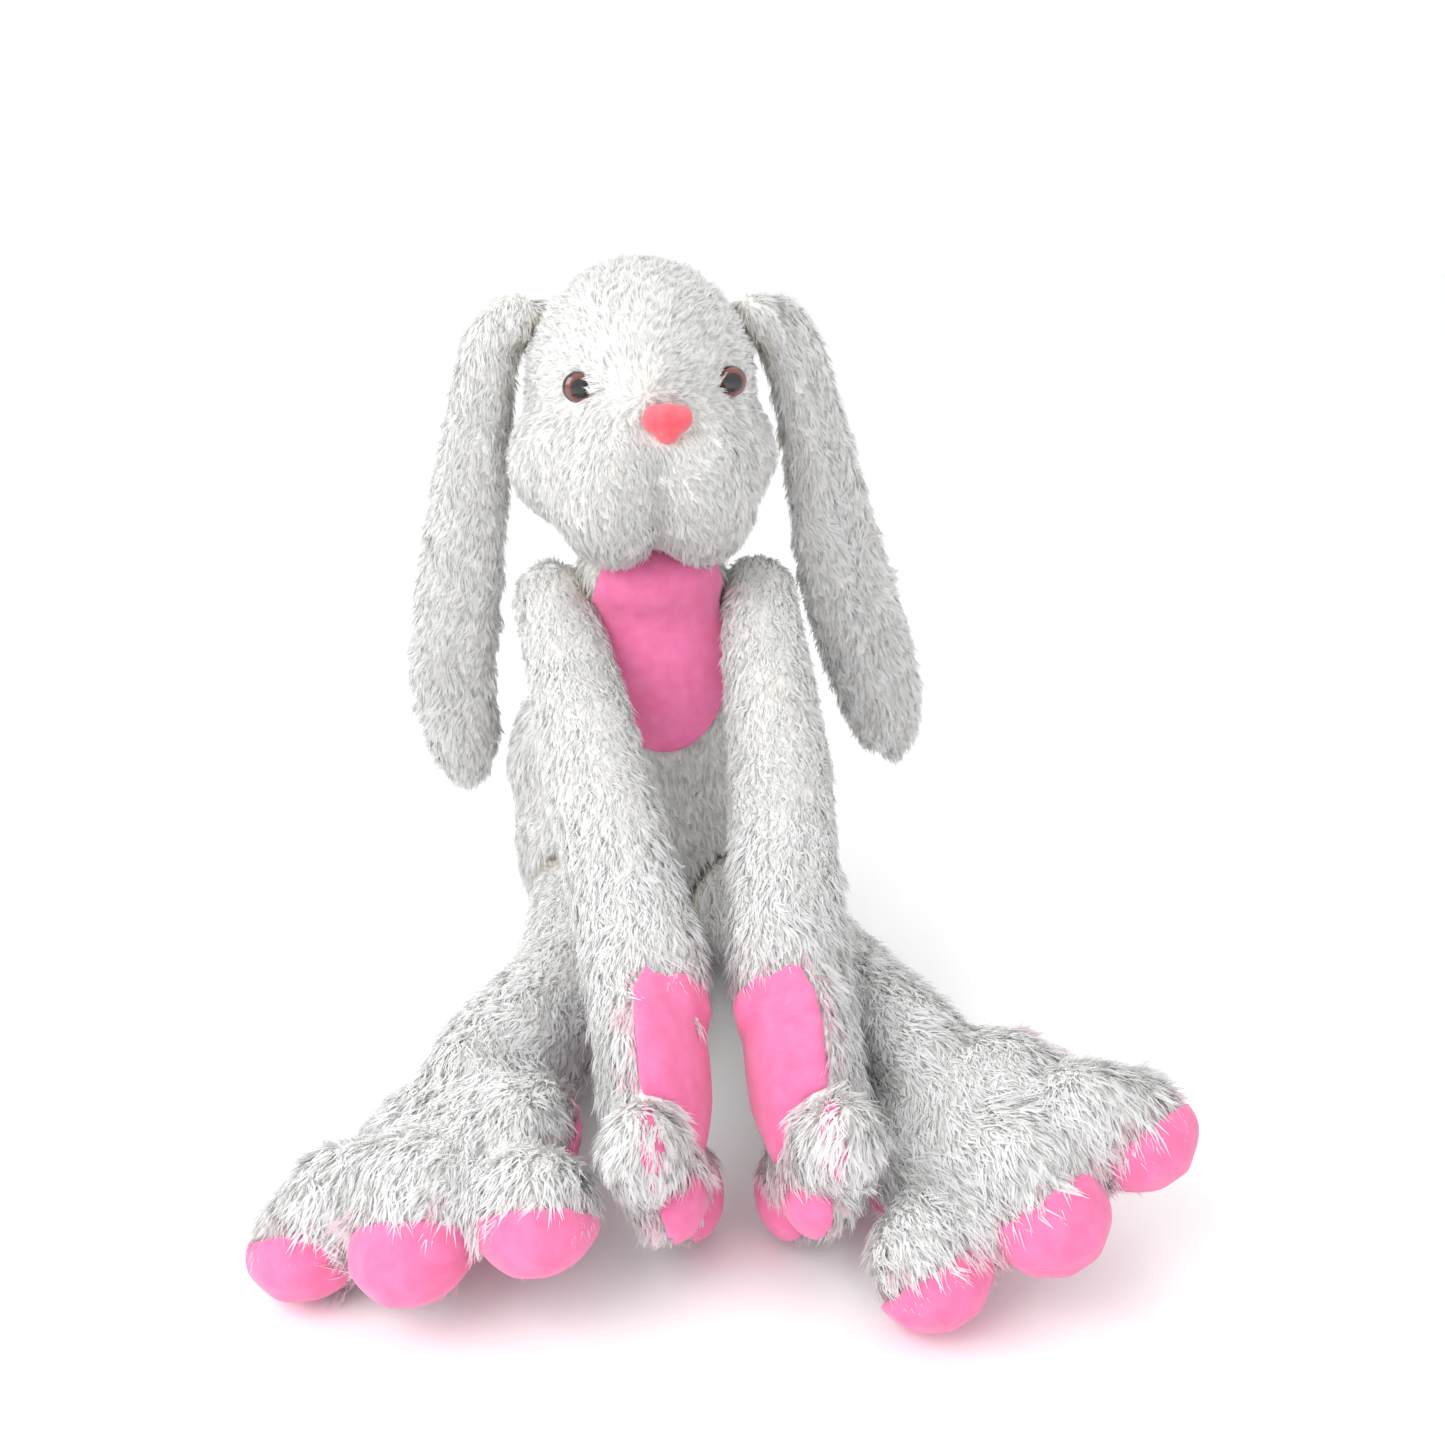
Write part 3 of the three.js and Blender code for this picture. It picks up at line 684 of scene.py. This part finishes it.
head_tree = tree_of(head)
eyes = {}
for side, centre in EYES.items():
    seat, outward, _, _ = head_tree.find_nearest(centre)
    outward = (outward + FACE * 0.4).normalized()
    seat += outward * EYE_LIFT
    turn = outward.to_track_quat("Z", "Y").to_matrix()
    bm = bmesh.new()
    matrix = (Matrix.Translation(seat) @ turn.to_4x4()
              @ Matrix.Diagonal((EYE_RADIUS, EYE_RADIUS, EYE_DOME, 1)))
    bmesh.ops.create_uvsphere(bm, u_segments=48, v_segments=24, radius=1, matrix=matrix)
    eyes[side] = placed(f"eye_{side}_moulded", bm)
    eyes[side].data.materials.append(
        moulded_eye(f"acrylic_eye_{side}", seat, outward, EYE_RADIUS))

# %% [markdown]
# ## Pile
#
# Real pile is far too fine to model fibre by fibre, but it hangs together in small locks. A lock
# is eight thin tapered strands that share a root and a lean, and a handful of different locks
# is enough. Geometry Nodes scatters them over a skin at an even spacing and turns each one to
# the cloth's own normal and to the way the pile lies there, which the skin carries as an
# attribute. The result is plain mesh, so it moves and exports like anything else.

# %% A handful of locks
STRANDS = 8
LOCK_KINDS = 7
LOCK_SPREAD = 0.16
STRAND_WIDTH = 0.068
draw = np.random.default_rng(7)


def strand(bm, layer, root, lean, height, width, column):
    """One blade from two extrusions of a short edge; the last one closes to a tip."""
    side = Vector((-lean.y, lean.x, 0)).normalized() * width / 2
    edge = bm.edges.new([bm.verts.new(root - side), bm.verts.new(root + side)])
    rows = [list(edge.verts)]
    for share, rise, narrow in ((0.38, 0.62, 0.85), (1.0, 1.0, 0.0)):
        made = bmesh.ops.extrude_edge_only(bm, edges=[edge])["geom"]
        row = [g for g in made if isinstance(g, bmesh.types.BMVert)]
        edge = next(g for g in made if isinstance(g, bmesh.types.BMEdge))
        spot = root + lean * share + Vector((0, 0, height * rise))
        for vert in row:
            vert.co = spot + (side if (vert.co - root).dot(side) > 0 and share < 1 or
                              (vert.co - spot).dot(side) > 0 else -side) * narrow
        rows.append(row)
    heights = {vert: place for row, place in zip(rows, (0.02, 0.55, 0.98)) for vert in row}
    faces = {face for row in rows for vert in row for face in vert.link_faces}
    for face in faces:
        for loop in face.loops:
            over = 0.3 if (loop.vert.co - root).dot(side) < 0 else 0.7
            loop[layer].uv = ((column + over) / STRANDS / SHADES, heights[loop.vert])
    bmesh.ops.pointmerge(bm, verts=rows[-1], merge_co=rows[-1][0].co)


locks = bpy.data.collections.new("Locks")
for kind in range(LOCK_KINDS):
    bm = bmesh.new()
    layer = bm.loops.layers.uv.new("OFBake")
    for column in range(STRANDS):
        angle, reach = draw.uniform(0, tau), LOCK_SPREAD * draw.uniform(0, 1) ** 0.5
        root = Vector((cos(angle) * reach, sin(angle) * reach, -0.12))
        gather = Vector((-root.x, -root.y, 0)) * draw.uniform(0.2, 1.1)
        lean = Vector((draw.uniform(0.5, 0.85), draw.uniform(-0.2, 0.2), 0)) + gather
        strand(bm, layer, root, lean, draw.uniform(0.42, 0.75), STRAND_WIDTH, column)
    lock = placed(f"lock_{kind}", bm)
    lock.data.materials.append(plush)
    bpy.context.scene.collection.objects.unlink(lock)
    locks.objects.link(lock)
print("triangles in a lock", sum(len(p.vertices) - 2 for p in lock.data.polygons))

# %% Scattering the locks
pile_tree = bpy.data.node_groups.new("Pile", "GeometryNodeTree")
for name, kind in (("Geometry", "Geometry"), ("Spacing", "Float"), ("Length", "Float"),
                   ("Seed", "Int")):
    pile_tree.interface.new_socket(name, in_out="INPUT", socket_type=f"NodeSocket{kind}")
pile_tree.interface.new_socket("Geometry", in_out="OUTPUT", socket_type="NodeSocketGeometry")
given = node(pile_tree, "NodeGroupInput").outputs


def carried(name, kind="FLOAT"):
    """An attribute that the skin carries."""
    return node(pile_tree, "GeometryNodeInputNamedAttribute", {"Name": name},
                data_type=kind).outputs[0]


def maths(operation, *values):
    """A number worked out from other numbers."""
    return node(pile_tree, "ShaderNodeMath", dict(enumerate(values)),
                operation=operation).outputs[0]


def vector_maths(operation, *values):
    """A vector worked out from other vectors."""
    return node(pile_tree, "ShaderNodeVectorMath", dict(enumerate(values)),
                operation=operation).outputs[0]


def any_number(low, high, offset):
    """A different number for each lock."""
    seed = maths("ADD", given["Seed"], offset)
    return node(pile_tree, "FunctionNodeRandomValue", {2: low, 3: high, "Seed": seed},
                data_type="FLOAT").outputs[1]


def any_direction(size, offset):
    """A different small sideways push for each lock."""
    seed = maths("ADD", given["Seed"], offset)
    return node(pile_tree, "FunctionNodeRandomValue",
                {0: (-size,) * 3, 1: (size,) * 3, "Seed": seed},
                data_type="FLOAT_VECTOR").outputs[0]


closeness = maths("DIVIDE", 2.6, maths("MULTIPLY", given["Spacing"], given["Spacing"]))
scatter = node(pile_tree, "GeometryNodeDistributePointsOnFaces",
               {"Mesh": given["Geometry"],
                "Distance Min": maths("MULTIPLY", given["Spacing"], 0.78),
                "Density Max": closeness, "Density Factor": carried("pile"),
                "Seed": given["Seed"]}, distribute_method="POISSON")
lay = carried("lay", "FLOAT_VECTOR")
up = vector_maths("ADD", scatter.outputs["Normal"], vector_maths("MULTIPLY", lay, (0.55,) * 3))
up = vector_maths("ADD", up, any_direction(0.22, 11))
turned = node(pile_tree, "FunctionNodeAlignRotationToVector", {"Vector": up}, axis="Z")
lying = vector_maths("ADD", lay, any_direction(0.45, 12))
turned = node(pile_tree, "FunctionNodeAlignRotationToVector",
              {"Rotation": turned.outputs[0], "Vector": lying}, axis="X", pivot_axis="Z")
size = maths("MULTIPLY", maths("MULTIPLY", given["Length"], carried("long")),
             any_number(0.75, 1.2, 13))
kinds = node(pile_tree, "GeometryNodeCollectionInfo",
             {"Collection": locks, "Separate Children": True, "Reset Children": True})
chosen = node(pile_tree, "FunctionNodeRandomValue",
              {4: 0, 5: LOCK_KINDS - 1, "Seed": maths("ADD", given["Seed"], 14)},
              data_type="INT").outputs[2]
planted = node(pile_tree, "GeometryNodeInstanceOnPoints",
               {"Points": scatter.outputs["Points"], "Instance": kinds.outputs[0],
                "Pick Instance": True, "Instance Index": chosen,
                "Rotation": turned.outputs[0], "Scale": size})
pink = maths("LESS_THAN", any_number(0, 1, 15), carried("pink"))
# strands in crevices take the cream family, which is painted shade
cream = maths("LESS_THAN", any_number(0, 1, 16), carried("cream"))
family = maths("ADD", maths("MULTIPLY", pink, 2),
               maths("MULTIPLY", maths("SUBTRACT", 1, pink), cream))
per_family = SHADES // len(SHADE_FAMILIES)
shade_number = maths("FLOOR", any_number(0, per_family - 0.01, 17))
shade_place = maths("DIVIDE", maths("ADD", maths("MULTIPLY", family, per_family), shade_number),
                    SHADES)
locks_dyed_and_shaded = node(pile_tree, "GeometryNodeStoreNamedAttribute",
                  {"Geometry": planted.outputs[0], "Name": "shade", "Value": shade_place},
                  data_type="FLOAT", domain="INSTANCE")
locks_dyed_and_shaded = node(pile_tree, "GeometryNodeStoreNamedAttribute",
                  {"Geometry": locks_dyed_and_shaded.outputs[0], "Name": "faces", "Value": up},
                  data_type="FLOAT_VECTOR", domain="INSTANCE")
grown = node(pile_tree, "GeometryNodeRealizeInstances", {0: locks_dyed_and_shaded.outputs[0]})
# a strand takes the light as the coat does, so its normals are those of the coat
lit = node(pile_tree, "GeometryNodeSetMeshNormal",
           {0: grown.outputs[0], "Custom Normal": carried("faces", "FLOAT_VECTOR")},
           mode="FREE", domain="POINT")
shift = node(pile_tree, "ShaderNodeCombineXYZ", {"X": carried("shade")}).outputs[0]
mapped = node(pile_tree, "GeometryNodeStoreNamedAttribute",
              {"Geometry": lit.outputs[0], "Name": "OFBake",
               "Value": vector_maths("ADD", carried("OFBake", "FLOAT_VECTOR"), shift)},
              data_type="FLOAT2", domain="CORNER")
node(pile_tree, "NodeGroupOutput", {0: mapped.outputs[0]})


# %% How the pile lies
FLOOR_CLEAR = 0.0006


def inside(search, here):
    """Whether a point is inside a closed skin: a line from it crosses the skin an odd number
    of times."""
    way, crossings, start = Vector((0.31, 0.95, 0.05)).normalized(), 0, here
    while crossings < 20:
        hit = search.ray_cast(start, way)[0]
        if hit is None:
            break
        crossings += 1
        start = hit + way * 1e-5
    return crossings % 2 == 1


def comb(obj, heading, skins=(), covers=(), tinting=(), swirl=0.75):
    """Writes on a skin where pile grows, its length, which way it lies, its tint and painted crevice shade.
    """
    skin_trees = [tree_of(o) for o in skins]
    cover_trees = [tree_of(o) for o in covers]
    tint_trees = [tree_of(o) for o in tinting]
    count = len(obj.data.vertices)
    values = {name: np.ones(count) for name in ("pile", "long")}
    values.update({name: np.zeros(count) for name in ("pink", "cream")})
    lays = np.zeros((count, 3))
    for vert in obj.data.vertices:
        here, normal, i = vert.co, vert.normal, vert.index
        for search in skin_trees:
            gap = search.find_nearest(here)[3]
            if inside(search, here):
                if gap > 0.0035:
                    values["pile"][i] = 0
            elif gap < 0.014:
                # close to another piece, a share of the strands turn cream: painted shade for the crevice
                values["cream"][i] = max(values["cream"][i], 0.9 - gap / 0.016)
        if any(search.ray_cast(here, normal, 0.012)[0] for search in cover_trees):
            values["pile"][i] = 0
        for search in tint_trees:
            gap = search.find_nearest(here)[3]
            values["pink"][i] = max(values["pink"][i], 0.4 - gap / 0.03)
        way = Vector(heading(here, normal)).normalized()
        way += noise.noise_vector(here / 0.03) * swirl + noise.noise_vector(here / 0.009) * 0.4
        way -= normal * way.dot(normal)
        lays[i] = way.normalized() * min(1, 0.35 + way.length)
        values["long"][i] = 1 + 0.3 * noise.noise(here / 0.013)
    for name, numbers in values.items():
        stored = obj.data.attributes.new(name, "FLOAT", "POINT")
        stored.data.foreach_set("value", numbers.astype(np.float32))
    stored = obj.data.attributes.new("lay", "FLOAT_VECTOR", "POINT")
    stored.data.foreach_set("vector", lays.astype(np.float32).ravel())


def grow(obj, name, spacing, length, seed):
    """The pile of one open piece of skin, as a mesh of its own."""
    modifier = obj.modifiers.new("Pile", "NODES")
    modifier.node_group = pile_tree
    inputs = {item.name: item.identifier for item in pile_tree.interface.items_tree
              if item.in_out == "INPUT"}
    modifier[inputs["Spacing"]] = spacing
    modifier[inputs["Length"]] = length
    modifier[inputs["Seed"]] = seed
    mesh = evaluated_mesh(obj)
    obj.modifiers.clear()
    pile = bpy.data.objects.new(name, mesh)
    pile.data.name = name
    bpy.context.scene.collection.objects.link(pile)
    co = points(pile)
    low = co[:, 2] < FLOOR_CLEAR
    co[low, 2] = FLOOR_CLEAR
    mesh.vertices.foreach_set("co", co.ravel())
    for attribute in [a.name for a in mesh.attributes
                      if a.name in ("shade", "faces", "pile", "long", "pink", "cream", "lay")]:
        mesh.attributes.remove(mesh.attributes[attribute])
    return pile


# %% Cutting a skin into pieces
def cut(obj, name, starts=None, ends=None):
    """An open piece of a skin between two planes, each (point, direction)."""
    bm = bmesh.new()
    bm.from_mesh(obj.data)
    for plane, side in ((starts, "clear_inner"), (ends, "clear_outer")):
        if plane:
            bmesh.ops.bisect_plane(bm, geom=bm.verts[:] + bm.edges[:] + bm.faces[:],
                                   plane_co=plane[0], plane_no=plane[1], **{side: True})
    return placed(name, bm)


def close(obj):
    """Fills the cut ends, drops the comb's attributes and names the ground cloth."""
    for name in ("pile", "long", "pink", "cream", "lay"):
        obj.data.attributes.remove(obj.data.attributes[name])
    bm = bmesh.new()
    bm.from_mesh(obj.data)
    rim = [edge for edge in bm.edges if edge.is_boundary]
    if rim:
        bmesh.ops.holes_fill(bm, edges=rim, sides=0)
        bmesh.ops.recalc_face_normals(bm, faces=bm.faces)
    bm.to_mesh(obj.data)
    bm.free()
    obj.data.shade_smooth()
    obj.data.materials.append(ground)


totals = {}


def furred(obj, replaced, spacing, length, seed, ride=None, blend=None,
           halves=None):
    """Grows the pile of a piece, then ties the piece and its pile to their bodies. A large piece
    gets two piles, behind and in front of the plane that halves gives."""
    if halves:
        piles = []
        for label, planes in (("back", {"starts": halves}), ("front", {"ends": halves})):
            part = cut(obj, "half", **planes)
            piles.append(grow(part, f"{obj.name}_pile_{label}", spacing, length, seed))
            bpy.data.objects.remove(part)
    else:
        piles = [grow(obj, f"{obj.name}_pile", spacing, length, seed)]
    close(obj)
    for item in (obj, *piles):
        if ride:
            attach(item, ride)
        else:
            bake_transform(item, *blend)
    if replaced:
        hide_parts(*replaced)
    for pile in piles:
        totals[pile.name] = sum(len(p.vertices) - 2 for p in pile.data.polygons)


# %% Pile on the torso, neck and head
arm_skins = [limb_skins["arm", side] for side in "RL"]
leg_skins = [limb_skins["leg", side] for side in "RL"]
all_ears = list(ear_skins.values())


def hangs(here, normal):
    """Down, and a little outwards."""
    return (here.x * 2, 0, -1)


def from_nose(here, normal):
    """Away from the nose on top of the face, and down on the cheeks."""
    away = (here - NOSE).normalized()
    if here.z < NOSE.z:
        away -= FACE_SIDE * away.dot(FACE_SIDE) * exp(-((here - NOSE).dot(FACE_SIDE) / 0.02) ** 2)
    below = min(1, max(0, (NOSE.z + 0.02 - here.z) / 0.04))
    return away * (1.1 - below * 0.75) + Vector((0.25 * FACE_SIDE.x, 0, -0.25 - below * 0.6))


comb(torso, hangs, skins=[head, *arm_skins, *leg_skins], covers=[belly])
comb(neck, hangs, skins=[head, torso])
comb(head, from_nose, skins=[torso, *all_ears], covers=[nose, *eyes.values()], swirl=0.6)
furred(torso, ["torso_cover"], 0.0031, 0.0125, 1, ride="torso",
       halves=(Vector((0, 0, 0)), Vector((0, 1, 0))))
furred(neck, ["neck_plug"], 0.005, 0.010, 2, ride="neck")
furred(head, ["head_cover"], 0.0028, 0.0105, 3, ride="head",
       halves=(HEAD_CENTRE, Vector((0, 1, 0))))

# %% Pile on the ears
for number, side in enumerate("RL"):
    comb(ear_skins[side], hangs, skins=[head])
    pivot, fold = JOINT[f"ear_lift_{side}"], JOINT[f"ear_fold_{side}"]
    down = (fold - pivot).normalized()
    halfway = pivot.lerp(fold, 0.55)
    root = cut(ear_skins[side], f"ear_{side}_root", ends=(halfway, down))
    flap = cut(ear_skins[side], f"ear_{side}_flap", starts=(halfway, down))
    ear_start = pivot + Vector((-0.02 if side == "L" else 0.02, 0, 0.0))
    furred(root, [f"ear_upper_{side}"], 0.0030, 0.0125, 10 + number,
           blend=("head", f"ear_upper_{side}", ear_start, pivot + down * 0.03))
    furred(flap, [f"ear_lower_{side}"], 0.0030, 0.013, 12 + number,
           blend=(f"ear_upper_{side}", f"ear_lower_{side}", fold - down * 0.03,
                  fold + down * 0.03))
    bpy.data.objects.remove(ear_skins[side])

# %% Pile on the arms and legs
def along(*joints):
    """A heading that follows a limb from joint to joint."""
    def heading(here, normal):
        spans = list(zip(joints, joints[1:]))
        spans.sort(key=lambda span: (here - (span[0] + span[1]) / 2).length)
        return (spans[0][1] - spans[0][0]).normalized() + Vector((0, 0, -0.35))
    return heading


for number, side in enumerate("RL"):
    shoulder, elbow, wrist = [JOINT[f"{name}_{side}"]
                              for name in ("arm_raise", "elbow_bend", "wrist_swing")]
    tips = (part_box(f"hand_{side}_back")[0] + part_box(f"hand_{side}_back")[1]) / 2
    arm = limb_skins["arm", side]
    hand_pads = [pads["hand", side, part] for part in PAD_NODES if part != near_toe(side)]
    comb(arm, along(shoulder, elbow, wrist, tips), skins=[torso], covers=hand_pads,
         tinting=hand_pads, swirl=0.5)
    upper, lower = (elbow - shoulder).normalized(), (wrist - elbow).normalized()
    mid_upper, mid_lower = shoulder.lerp(elbow, 0.55), elbow.lerp(wrist, 0.5)
    top = cut(arm, f"arm_{side}_shoulder", ends=(mid_upper, upper))
    bend = cut(arm, f"arm_{side}_elbow", starts=(mid_upper, upper), ends=(mid_lower, lower))
    paw = cut(arm, f"arm_{side}_hand", starts=(mid_lower, lower))
    furred(top, [f"upper_arm_{side}"], 0.0029, 0.0115, 20 + number,
           blend=("torso", f"upper_arm_{side}", shoulder - upper * 0.01, shoulder + upper * 0.04))
    furred(bend, [f"forearm_{side}"], 0.0029, 0.0115, 22 + number,
           blend=(f"upper_arm_{side}", f"forearm_{side}", elbow - upper * 0.04,
                  elbow + lower * 0.04))
    furred(paw, [f"hand_{side}_back"], 0.0029, 0.0145, 24 + number,
           blend=(f"forearm_{side}", f"hand_{side}", wrist - lower * 0.03, wrist + lower * 0.03))
    bpy.data.objects.remove(arm)

    hip, knee, ankle = [JOINT[f"{name}_{side}"]
                        for name in ("leg_raise", "knee_bend", "ankle_bend")]
    tips = (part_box(f"foot_{side}_back")[0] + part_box(f"foot_{side}_back")[1]) / 2
    leg = limb_skins["leg", side]
    sole = [pads["foot", side, part] for part in PAD_NODES]
    comb(leg, along(hip, knee, ankle, tips), skins=[torso], covers=sole, tinting=sole, swirl=0.6)
    thigh_way, shin_way = (knee - hip).normalized(), (ankle - knee).normalized()
    at_hip, mid_thigh = hip + thigh_way * 0.022, hip.lerp(knee, 0.6)
    mid_shin = knee.lerp(ankle, 0.5)
    ball = cut(leg, f"leg_{side}_hip", ends=(at_hip, thigh_way))
    thigh = cut(leg, f"leg_{side}_thigh", starts=(at_hip, thigh_way), ends=(mid_thigh, thigh_way))
    shin = cut(leg, f"leg_{side}_knee", starts=(mid_thigh, thigh_way), ends=(mid_shin, shin_way))
    foot = cut(leg, f"leg_{side}_foot", starts=(mid_shin, shin_way))
    furred(ball, [f"leg_root_{side}"], 0.0030, 0.0125, 30 + number,
           blend=("torso", f"leg_root_{side}", hip - thigh_way * 0.03, hip + thigh_way * 0.01))
    furred(thigh, [f"thigh_{side}"], 0.0030, 0.0125, 32 + number,
           blend=(f"leg_root_{side}", f"thigh_{side}", at_hip, mid_thigh))
    furred(shin, [f"shin_{side}"], 0.0030, 0.0125, 34 + number,
           blend=(f"thigh_{side}", f"shin_{side}", knee - thigh_way * 0.035,
                  knee + shin_way * 0.05))
    furred(foot, [f"foot_{side}_back"], 0.0030, 0.016, 36 + number,
           blend=(f"shin_{side}", f"foot_{side}", ankle - shin_way * 0.04,
                  ankle + shin_way * 0.02))
    bpy.data.objects.remove(leg)
print("pile triangles", sum(totals.values()), totals)

# %% Pads, panel, nose and eyes take their places
for (paw, side, part), obj in pads.items():
    obj.data.materials.append(minky)
    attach(obj, f"{paw}_{side}")
    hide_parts(f"{paw}_{side}_{part}")
belly.data.materials.append(minky)
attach(belly, "torso")
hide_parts("belly_panel")
nose.data.materials.append(velour)
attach(nose, "head")
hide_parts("nose")
for side, obj in eyes.items():
    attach(obj, "head")
    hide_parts(f"eye_{side}")

# %% Inside pieces keep their CAD shapes and get their finishes
for name, finish in (("torso_stuffing", filling), ("head_stuffing", filling),
                     ("eye_washer_R", washer), ("eye_washer_L", washer)):
    data = frame["nodes"][name].data
    data.materials.clear()
    data.materials.append(finish)

for lock in list(locks.objects):
    bpy.data.objects.remove(lock)
bpy.data.collections.remove(locks)
bpy.data.node_groups.remove(pile_tree)
